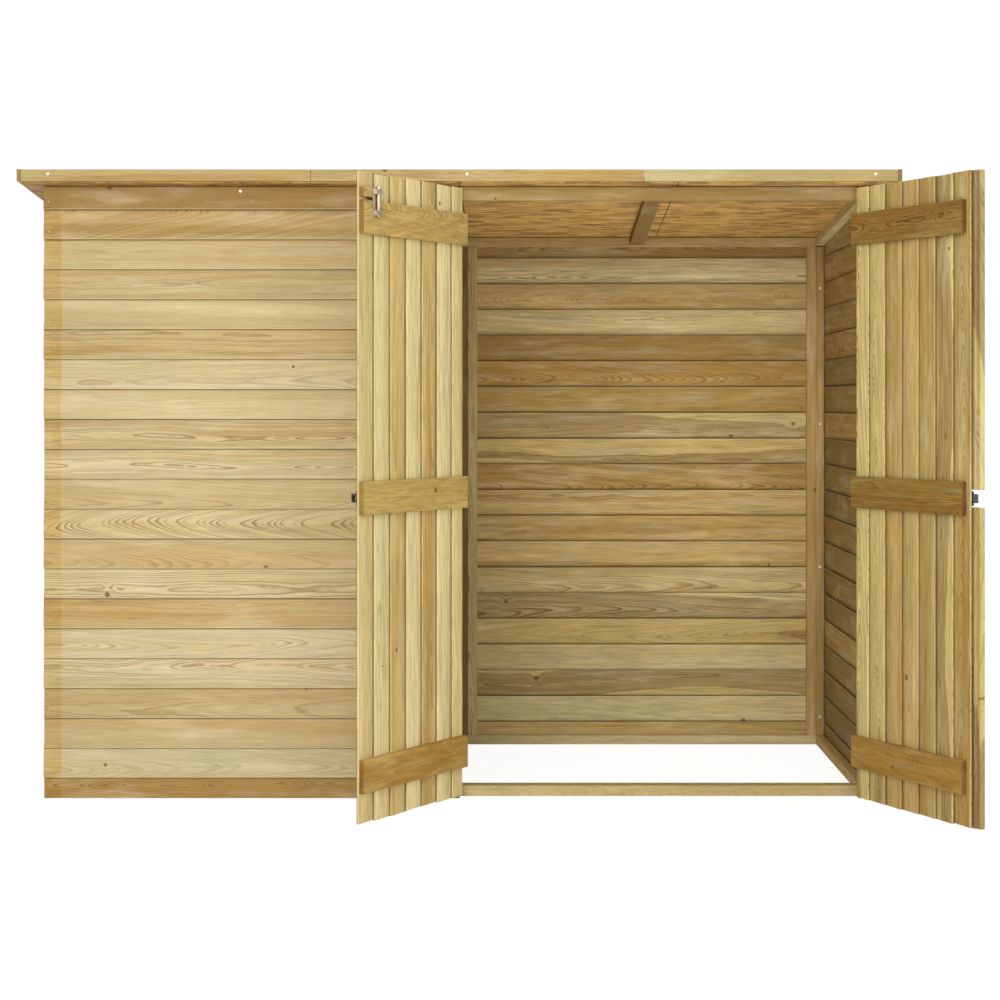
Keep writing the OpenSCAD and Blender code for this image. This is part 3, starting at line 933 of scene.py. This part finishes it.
class SHED_OT_stage(bpy.types.Operator):
    """Sets up the floor, the background, the lamps and the camera"""

    bl_idname = "shed.stage"
    bl_label = "Stage"

    # Lamp: place, target, width and height, power, spread in degrees
    lamps = {
        "key_lamp": ((-0.8, -6.8, 3.0), (0.0, 0, 0.6), (3.0, 2.6), 156, 180),
        "fill_lamp": ((2.2, -6.2, 2.6), (0.2, 0, 0.7), (2.8, 2.6), 34, 180),
        "side_lamp": ((5.0, -2.5, 1.3), (-0.15, -0.25, 0.85), (1.6, 1.4), 64, 180),
        "spot_lamp": ((-3.0, -5.5, 1.5), (-0.45, -0.2, 0.85), (1.2, 1.4), 2.6, 30),
        "low_lamp": ((0.5, -3.2, 0.12), (0.55, 0.9, 1.7), (2.0, 0.7), 14, 180),
        "floor_lamp": ((0.5, 0.42, 0.03), (0.5, 0.46, 1.5), (1.0, 0.7), 3.4, 95),
    }

    def execute(self, context):
        context.scene.view_settings.view_transform = "Standard"
        self.floor(context.scene.shed_colours)
        self.world()
        for name, settings in self.lamps.items():
            self.lamp(name, *settings)
        self.camera()
        return {"FINISHED"}

    def floor(self, colours):
        mesh = bpy.data.meshes.new("floor")
        reach = 60
        corners = [(-reach, -reach, 0), (reach, -reach, 0), (reach, reach, 0), (-reach, reach, 0)]
        mesh.from_pydata(corners, [], [(0, 1, 2, 3)])
        floor = bpy.data.objects.new("floor", mesh)
        bpy.context.scene.collection.objects.link(floor)
        material = bpy.data.materials.new("floor")
        material.use_nodes = True
        nodes = NodeMaker(material.node_tree)
        seen = self.seen(nodes)
        grey = nodes.add("ShaderNodeBsdfDiffuse", None, {"Color": colours.floor})
        shade = nodes.add("ShaderNodeBsdfDiffuse", None, {"Color": (0.22, 0.22, 0.22)})
        glow = nodes.add("ShaderNodeEmission", None, {"Color": (1, 1, 1), "Strength": 0.9})
        pale = nodes.add("ShaderNodeAddShader", None, {0: shade, 1: glow})
        floor_shader = nodes.add("ShaderNodeMixShader", None, {0: seen, 1: grey, 2: pale})
        nodes.add("ShaderNodeOutputMaterial", None, {"Surface": floor_shader})
        mesh.materials.append(material)
        floor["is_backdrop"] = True

    def seen(self, nodes):
        """1 for rays that show the background: straight, mirrored or through glass."""
        path = nodes.add("ShaderNodeLightPath")
        glossy = nodes.other(path, "Is Glossy Ray")
        through = nodes.other(path, "Is Transmission Ray")
        return nodes.maths("MINIMUM", path + glossy + through, 1)

    def world(self):
        world = bpy.data.worlds.new("studio")
        bpy.context.scene.world = world
        world.use_nodes = True
        nodes = NodeMaker(world.node_tree)
        ambient = 0.62
        strength = ambient + self.seen(nodes) * (1 - ambient)
        light = nodes.add("ShaderNodeBackground", None, {"Color": (1, 1, 1), "Strength": strength})
        nodes.add("ShaderNodeOutputWorld", None, {"Surface": light})

    def lamp(self, name, place, target, size, power, spread):
        data = bpy.data.lights.new(name, "AREA")
        data.shape = "RECTANGLE"
        data.size, data.size_y = size
        data.energy = power
        data.spread = math.radians(spread)
        lamp = bpy.data.objects.new(name, data)
        lamp.location = place
        lamp.visible_camera = False
        lamp.rotation_euler = (Vector(target) - Vector(place)).to_track_quat("-Z", "Y").to_euler()
        bpy.context.scene.collection.objects.link(lamp)

    def camera(self):
        data = bpy.data.cameras.new("camera")
        data.lens = 85.86
        data.sensor_width = 36
        data.shift_x = -0.019
        data.shift_y = -0.096
        camera = bpy.data.objects.new("camera", data)
        camera.location = (0.156, -6.308, 1.041)
        camera.rotation_euler = (math.pi / 2, 0, 0)
        bpy.context.scene.collection.objects.link(camera)
        bpy.context.scene.camera = camera


class SHED_OT_walls(bpy.types.Operator):
    """Makes the lapped boards of the five wall panels"""

    bl_idname = "shed.walls"
    bl_label = "Wall boards"

    # Panel: turn about Z in quarters, shades of its boards from the bottom
    panels = {
        # The front's top r is painted shade under the roof's overhang
        "front_panel": (0, "bpttpphstststsphstthr"),
        "back_left": (2, "ptthspsthpst"),
        "back_right": (2, "hpSsBPthbhbBTbbrshprr"),
        "left_side": (3, "tshpsthptsp"),
        # The right side's d and r are painted shade on that wall
        "right_side": (1, "ddddrdddddddrddrrrrrr"),
    }

    first_seed = 11
    seed_step = 7

    def execute(self, context):
        sizes = context.scene.shed_sizes
        for number, (panel, (quarters, shades)) in enumerate(self.panels.items()):
            node = panel + "_boards"
            low, high = node_box(node)
            inner = [(low.x, high.y), (low.x, low.y), (high.x, low.y), (high.x, high.y)][quarters]
            length = high.x - low.x if quarters % 2 == 0 else high.y - low.y
            place = Matrix.Translation((*inner, low.z)) @ Matrix.Rotation(quarters * math.pi / 2, 4, "Z")
            seed = self.first_seed + self.seed_step * number
            boards_piece(
                panel + "_cladding", node, "shed", "wall_board", shades, seed, place,
                length, high.z - low.z, sizes.wall_cover, sizes.wall_first,
            )
        return {"FINISHED"}


class SHED_OT_framing(bpy.types.Operator):
    """Makes the studs, the rails, the post, the header, the sill and the rafters"""

    bl_idname = "shed.framing"
    bl_label = "Framing"

    # CAD node: shades of its battens
    battens = {
        "front_panel_studs": "tst",
        "front_panel_rails": "ts",
        # d is painted shade on these studs
        "back_left_studs": "td",
        "back_left_rails": "ts",
        "back_right_studs": "sh",
        "back_right_rails": "pt",
        "left_side_studs": "ts",
        "left_side_rails": "st",
        "right_side_studs": "sb",
        "right_side_rails": "ts",
        "door_post": "t",
        "door_header": "r",
        "door_sill": "t",
        "rafter_left": "h",
        # d is painted shade on this rafter
        "rafter_right": "d",
    }

    def execute(self, context):
        batten_pieces(self.battens, "framing", first_seed=100)
        return {"FINISHED"}


class SHED_OT_roof(bpy.types.Operator):
    """Finishes the roof sheets and makes the battens round them and the felt on them"""

    bl_idname = "shed.roof"
    bl_label = "Roof"

    battens = {
        "front_fascia": "hht",
        "back_fascia": "s",
        "left_roof_batten": "s",
        "right_roof_batten": "t",
    }

    def execute(self, context):
        for number in range(1, 5):
            repaint(f"roof_sheet_{number}", "strand_board")
        batten_pieces(self.battens, "trim_batten", first_seed=200)
        self.felt(context.scene.shed_sizes)
        return {"FINISHED"}

    def felt(self, sizes):
        """Three strips of felt along the roof, each lapping over the one behind it."""
        low, high = node_box("roof_felt")
        _, up = roof_plane()
        slope = up.y / up.z
        spots = [v.co for v in frame["nodes"]["roof_felt"].data.vertices]
        front = [s.z for s in spots if s.y < low.y + NEAR]
        base = min(front)
        thick = max(front) - base
        depth = high.y - low.y
        strips = 3
        columns, lines = 92, 20
        lapped_lines = 4
        wide = (depth + (strips - 1) * sizes.felt_lap) / strips
        chosen = random.Random(5)
        mesh = bpy.data.meshes.new("roof_felt_strips")
        work = bmesh.new()
        for number in range(strips):
            y0 = low.y + number * (wide - sizes.felt_lap)
            y1 = y0 + wide
            phase = chosen.uniform(0, 6)
            grid = {}
            for side in (0, 1):
                for i in range(columns + 1):
                    for j in range(lines + 1):
                        x = low.x + (high.x - low.x) * i / columns
                        y = y0 + (y1 - y0) * j / lines
                        raised = 1 if j >= lines - lapped_lines and number < strips - 1 else 0
                        wave = math.sin(x * 5.1 + phase) * math.sin(y * 9 + phase) * 0.5 + 0.5
                        rise = thick * (0.45 * raised + 0.1 * wave) if side == 0 else 0
                        rise += side * thick * (0.5 + 0.45 * raised + 0.05 * wave)
                        z = base - slope * (y - low.y) + rise
                        grid[side, i, j] = work.verts.new((x, y, z))
            self.skin(work, grid, columns, lines)
        bmesh.ops.recalc_face_normals(work, faces=work.faces)
        work.to_mesh(mesh)
        work.free()
        mesh_piece("roof_felt_strips", mesh, "shed", "roof_felt", ["roof_felt"])

    def skin(self, work, grid, columns, lines):
        """Closes two grids of vertices, one over the other, into a thin sheet."""
        for i in range(columns):
            for j in range(lines):
                square = [(i, j), (i + 1, j), (i + 1, j + 1), (i, j + 1)]
                work.faces.new([grid[1, a, b] for a, b in square])
                work.faces.new([grid[0, a, b] for a, b in reversed(square)])
        rim = [(i, 0) for i in range(columns)] + [(columns, j) for j in range(lines)]
        rim += [(i, lines) for i in range(columns, 0, -1)] + [(0, j) for j in range(lines, 0, -1)]
        for here, beyond in zip(rim, rim[1:] + rim[:1]):
            work.faces.new([grid[0, *here], grid[0, *beyond], grid[1, *beyond], grid[1, *here]])


class SHED_OT_doors(bpy.types.Operator):
    """Makes the boards, the ledges and the cover strip of the two doors"""

    bl_idname = "shed.doors"
    bl_label = "Doors"

    def execute(self, context):
        sizes = context.scene.shed_sizes
        self.leaf("left_door", "sphphpt", "btt", 61, sizes)
        self.leaf("right_door", "PTbhbTb", "brr", 71, sizes)
        self.batten("right_door", "right_cover_strip", "trim_batten", "HS", 305)
        self.batten("left_door", "top_bolt_block", "ledge", "t", 306)
        return {"FINISHED"}

    def batten(self, door, node, slot, shades, seed):
        batten_piece(node + "_timber", node, door, slot, shades, seed, hang(door))

    def leaf(self, door, shades, ledge_shades, seed, sizes):
        turn = hang(door)
        low, high = node_box(door + "_boards", turn)
        width = high.x - low.x
        cover = sizes.door_cover
        first = width - sizes.lap - math.floor((width - sizes.lap) / cover) * cover
        # The boards stack from the hinge edge to the free edge
        if door == "left_door":
            axes = Matrix(((0, 0, 1, low.x), (0, 1, 0, high.y), (-1, 0, 0, high.z), (0, 0, 0, 1)))
        else:
            axes = Matrix(((0, 0, -1, high.x), (0, 1, 0, high.y), (1, 0, 0, low.z), (0, 0, 0, 1)))
        boards_piece(
            door + "_leaf", door + "_boards", door, "door_board", shades, seed, axes,
            high.z - low.z, width, cover, first, turn,
        )
        self.batten(door, door + "_ledges", "ledge", ledge_shades, seed + 1)


class SHED_OT_fittings(bpy.types.Operator):
    """Finishes the hinges and the bolts, and adds their screws"""

    bl_idname = "shed.fittings"
    bl_label = "Hinges and bolts"

    # Slot: its CAD nodes
    finishes = {
        "zinc_steel": (
            "left_hinge_flaps", "right_hinge_flaps", "left_hinge_straps", "right_hinge_straps",
            "top_bolt_plate", "top_bolt_rod",
        ),
        "dark_steel": ("lock_bolt_plate", "lock_bolt_rod", "lock_bolt_keeper"),
    }
    # Where the screws are, along a hinge from its pin's end and up from its middle
    strap_steps = ((0.045, 0.105, 0.165, 0.225), (0,))
    flap_steps = ((0.009,), (-0.021, 0, 0.021))
    plate_t = 0.002

    def execute(self, context):
        sizes = context.scene.shed_sizes
        for slot, nodes in self.finishes.items():
            for node in nodes:
                repaint(node, slot)
        for side in ("left", "right"):
            self.hinge_screws(side, sizes.screw_r)
        self.bolt_screws(sizes.small_screw_r)
        return {"FINISHED"}

    def hinge_points(self, side, node, face, steps, turn=None):
        """Points on each of a hinge node's solids, at steps from where its pin's end is."""
        away = 1 if side == "left" else -1
        points = []
        for low, high in solids(node, turn):
            start = low.x if side == "left" else high.x
            middle = (low.z + high.z) / 2
            for along in steps[0]:
                points += [(start + away * along, face, middle + up) for up in steps[1]]
        return points

    def hinge_screws(self, side, radius):
        """Screws along each strap, and three in each flap."""
        door = side + "_door"
        turn = hang(door)
        face = hinge_of(door)["pos_m"][1]
        points = self.hinge_points(side, side + "_hinge_straps", face, self.strap_steps, turn)
        spots = spots_on(points, FRONT, turn)
        heads_piece(side + "_strap_screws", door, "zinc_steel", screw_head, radius, spots)
        face = node_box("door_post")[0].y - self.plate_t
        points = self.hinge_points(side, side + "_hinge_flaps", face, self.flap_steps)
        spots = spots_on(points, FRONT)
        heads_piece(side + "_flap_screws", "shed", "zinc_steel", screw_head, radius, spots)

    def corner_points(self, box, face, in_x, in_z):
        """Points near a plate's four corners, on its face."""
        low, high = box
        heights = (low.z + in_z, high.z - in_z)
        return [(x, face, z) for x in (low.x + in_x, high.x - in_x) for z in heights]

    def bolt_screws(self, radius):
        """Small screws at the corners of the bolts' plates."""
        turn = hang("right_door")
        face = node_box("right_door_boards", turn)[0].y - self.plate_t
        points = self.corner_points(node_box("lock_bolt_plate", turn), face, 0.024, 0.005)
        spots = spots_on(points, FRONT, turn)
        heads_piece("lock_bolt_screws", "right_door", "dark_steel", screw_head, radius, spots)
        turn = hang("left_door")
        low, high = node_box("lock_bolt_keeper", turn)
        points = [(low.x + 0.005, face, z) for z in (low.z + 0.006, high.z - 0.006)]
        spots = spots_on(points, FRONT, turn)
        heads_piece("keeper_screws", "left_door", "dark_steel", screw_head, radius, spots)
        box = node_box("top_bolt_plate", turn)
        points = self.corner_points(box, box[0].y + self.plate_t, 0.005, 0.022)
        spots = spots_on(points, BACK, turn)
        heads_piece("top_bolt_screws", "left_door", "zinc_steel", screw_head, radius, spots)


class SHED_OT_fixings(bpy.types.Operator):
    """Adds the nails of the boards and the felt, and the screws of the battens"""

    bl_idname = "shed.fixings"
    bl_label = "Nails and screws"

    nail_in = 0.02  # From a board's, a ledge's or a felt strip's edge to its nails
    wall_nail_depth = 0.125  # How deep in the boards' box a nail is, as a share of its depth
    door_nail_depth = 0.0035  # How deep in the boards' box a nail is, in metres
    door_nail_share = 0.55  # How far across a door board its nails are
    door_nail_columns = 7
    felt_nail_columns = 16
    felt_nail_margin = 0.03
    fascia_screws = (-1.078, 0.02, 1.09)  # Places along the front fascia
    stud_screws = (0.085, 0.543, 0.98, 1.395)  # Heights on the front of the side walls' back studs
    sunk = 0.0005  # How deep the screws that face the back and the sides are sunk

    def execute(self, context):
        sizes = context.scene.shed_sizes
        self.wall_nails(sizes)
        self.door_nails(sizes)
        self.felt_nails(sizes)
        self.trim_screws(sizes)
        return {"FINISHED"}

    def wall_nails(self, sizes):
        """A nail through each board into each stud, just above the board's lower edge."""
        spots = []
        for panel, (quarters, _) in SHED_OT_walls.panels.items():
            low, high = node_box(panel + "_boards")
            way = Matrix.Rotation(quarters * math.pi / 2, 3, "Z") @ Vector(FRONT)
            depth = min(high.x - low.x, high.y - low.y)
            axis = 0 if abs(way.x) > 0.5 else 1
            face = high[axis] if way[axis] > 0.5 else low[axis]
            for stud_low, stud_high in solids(panel + "_studs"):
                middle = (stud_low + stud_high) / 2
                height = low.z + sizes.wall_first
                while height < stud_high.z:
                    spot = Vector((middle.x, middle.y, height + self.nail_in))
                    spot[axis] = face - way[axis] * depth * self.wall_nail_depth
                    spots.append((spot, way))
                    height += sizes.wall_cover
        heads_piece("wall_nails", "shed", "zinc_steel", nail_head, sizes.nail_r, spots)

    def door_nails(self, sizes):
        """Two nails through each door board into each ledge."""
        for door, away in (("left_door", 1), ("right_door", -1)):
            turn = hang(door)
            low, high = node_box(door + "_boards", turn)
            free = high.x if away > 0 else low.x
            points = []
            for ledge_low, ledge_high in solids(door + "_ledges", turn):
                for i in range(self.door_nail_columns):
                    x = free - away * (sizes.door_cover * (i + self.door_nail_share))
                    for z in (ledge_low.z + self.nail_in, ledge_high.z - self.nail_in):
                        points.append((x, low.y + self.door_nail_depth, z))
            spots = spots_on(points, FRONT, turn)
            heads_piece(door + "_nails", door, "zinc_steel", nail_head, sizes.nail_r, spots)

    def felt_nails(self, sizes):
        """Clout nails along the felt's edges and laps."""
        low, high = node_box("roof_felt")
        point, up = roof_plane()
        slope = up.y / up.z
        rise = high.z - (point.z - (low.y - point.y) * slope)
        depth = high.y - low.y
        wide = (depth + 2 * sizes.felt_lap) / 3
        inset = self.nail_in
        margin = self.felt_nail_margin
        last = self.felt_nail_columns - 1
        spots = []
        for y in (inset, wide - inset, 2 * wide - sizes.felt_lap - inset, depth - inset):
            z = point.z - (low.y + y - point.y) * slope + rise
            for i in range(self.felt_nail_columns):
                x = low.x + margin + (high.x - low.x - 2 * margin) * i / last
                spots.append((Vector((x, low.y + y, z)), up))
        heads_piece("felt_nails", "shed", "zinc_steel", nail_head, sizes.clout_r, spots)

    def trim_screws(self, sizes):
        """Screws in the battens round the roof and in the side walls' studs."""
        low, high = node_box("front_fascia")
        height = (low.z + high.z) / 2 + 0.004
        spots = spots_on([(x, low.y, height) for x in self.fascia_screws], FRONT)
        low, high = node_box("front_panel_boards")
        spots += spots_on([(-0.58, low.y * 0.74, high.z - 0.012)], FRONT)
        low, high = node_box("back_fascia")
        margin = 0.04
        xs = [low.x + margin + (high.x - low.x - 2 * margin) * i / 6 for i in range(7)]
        spots += spots_on([(x, high.y - self.sunk, (low.z + high.z) / 2) for x in xs], BACK)
        for side, way in (("left", -1), ("right", 1)):
            low, high = node_box(side + "_roof_batten")
            x = low.x + self.sunk if way < 0 else high.x - self.sunk
            for part in (0.06, 0.5, 0.94):
                y = low.y + (high.y - low.y) * part
                z = high.z + (low.z + 0.031 - high.z) * part - 0.0155
                spots += spots_on([(x, y, z)], (way, 0, 0))
            studs = solids(side + "_side_studs")
            low, high = max(studs, key=lambda box: box[0].y)
            spots += spots_on([((low.x + high.x) / 2, low.y, z) for z in self.stud_screws], FRONT)
            for low, high in studs:
                x = high.x if way < 0 else low.x
                heights = [low.z + (high.z - low.z) * part for part in (0.12, 0.5, 0.88)]
                spots += spots_on([(x, (low.y + high.y) / 2, z) for z in heights], (-way, 0, 0))
        screws = heads_piece("batten_screws", "shed", "zinc_steel", screw_head, sizes.screw_r, spots)
        # Painted reflection: the battens' screws take the pale, barely metallic finish
        screws.data.materials[0] = finish_of("painted_shine_screws")


class SHED_PT_panel(bpy.types.Panel):
    """Lists the shed's pieces, sizes and colours"""

    bl_idname = "SHED_PT_panel"
    bl_label = "Bike Shed"
    bl_space_type = "VIEW_3D"
    bl_region_type = "UI"
    bl_category = "Shed"

    def draw(self, context):
        for operator in OPERATORS:
            self.layout.operator(operator.bl_idname)
        for group in (context.scene.shed_sizes, context.scene.shed_colours):
            box = self.layout.box()
            for name in group.__annotations__:
                box.prop(group, name)


OPERATORS = (
    SHED_OT_stage,
    SHED_OT_walls,
    SHED_OT_framing,
    SHED_OT_roof,
    SHED_OT_doors,
    SHED_OT_fittings,
    SHED_OT_fixings,
)
CLASSES = (ShedSizes, ShedColours, *OPERATORS, SHED_PT_panel)


def register():
    for made in CLASSES:
        bpy.utils.register_class(made)
    bpy.types.Scene.shed_sizes = bpy.props.PointerProperty(type=ShedSizes)
    bpy.types.Scene.shed_colours = bpy.props.PointerProperty(type=ShedColours)


def unregister():
    del bpy.types.Scene.shed_colours
    del bpy.types.Scene.shed_sizes
    for made in reversed(CLASSES):
        bpy.utils.unregister_class(made)


def write_sizes():
    """Makes the CAD model's box and the visual model's into plain lists, which are not kept."""
    boxes = {"cad": CAD_BOX, "visual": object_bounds()}
    {name: [list(corner) for corner in box] for name, box in boxes.items()}


def main():
    register()
    bpy.ops.shed.stage()
    bpy.ops.shed.walls()
    bpy.ops.shed.framing()
    bpy.ops.shed.roof()
    bpy.ops.shed.doors()
    bpy.ops.shed.fittings()
    bpy.ops.shed.fixings()
    write_sizes()


if __name__ == "__main__":
    main()
